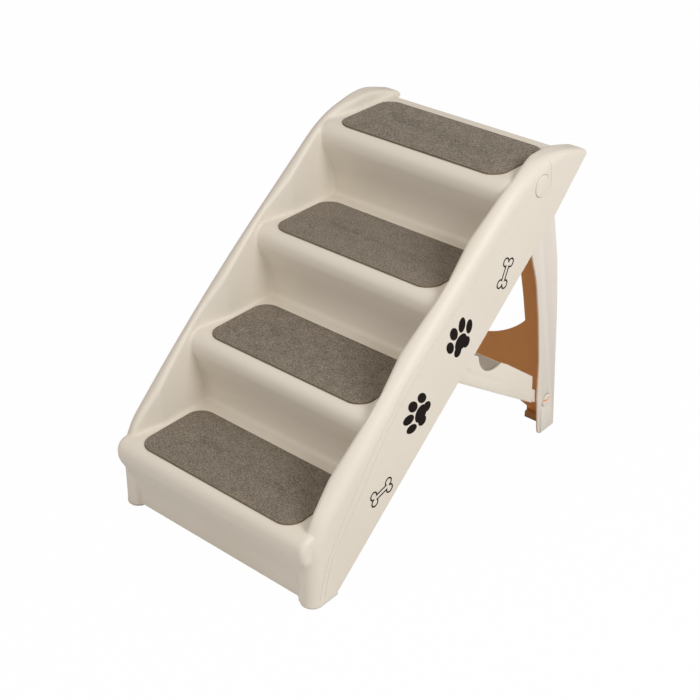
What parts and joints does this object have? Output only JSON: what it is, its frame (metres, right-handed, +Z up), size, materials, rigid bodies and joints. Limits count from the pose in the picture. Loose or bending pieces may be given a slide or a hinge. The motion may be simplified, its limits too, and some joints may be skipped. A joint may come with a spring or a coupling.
{
  "type": "folding pet stairs",
  "caption": "Folding pet stairs: moulded shell with carpeted treads and rolled side rails, on a swing-out rear leg held open by a snap brace.",
  "frame": {"origin": "centre of the footprint of the opened stairs at floor level", "axes": "+X to the right of someone climbing, +Y from the lowest step towards the rear leg, +Z up"},
  "size_m": [0.4012, 0.6516, 0.5286],
  "materials": {
    "shell": "satin moulded plastic, warm cream",
    "mat": "short-pile carpet, grey brown",
    "pad": "soft foot pad, near the shell's colour",
    "washer": "plain plastic",
    "print": "printed film"
  },
  "bodies": {
    "stairs": {"stair_body": "shell", "tread_mat_1": "mat", "tread_mat_2": "mat", "tread_mat_3": "mat", "tread_mat_4": "mat", "leg_pivot_pin_left": "shell", "leg_pivot_pin_right": "shell", "leg_pin_washer_left": "washer", "leg_pin_washer_right": "washer", "brace_pivot_pin_left": "shell", "brace_pivot_pin_right": "shell", "front_foot_left": "pad", "front_foot_right": "pad", "paw_prints_left": "print", "paw_prints_right": "print", "bone_prints_left": "print", "bone_prints_right": "print"},
    "leg": {"leg_frame": "shell", "latch_catch_left": "shell", "latch_catch_right": "shell", "rear_foot_left": "pad", "rear_foot_right": "pad"},
    "brace": {"brace": "shell"}
  },
  "joints": [
    {"name": "leg_fold", "type": "hinge", "parent": "stairs", "child": "leg", "pos_m": [0, 0.20018, 0.489], "axis": [-1, 0, 0], "range_deg": [0, 54.5]},
    {"name": "brace_fold", "type": "hinge", "parent": "stairs", "child": "brace", "pos_m": [0, -0.00982, 0.27], "axis": [-1, 0, 0], "range_deg": [0, 105]}
  ],
  "couplings": [
    {"joint": "brace_fold", "follows": "leg_fold", "ratio": 1.9265}
  ]
}
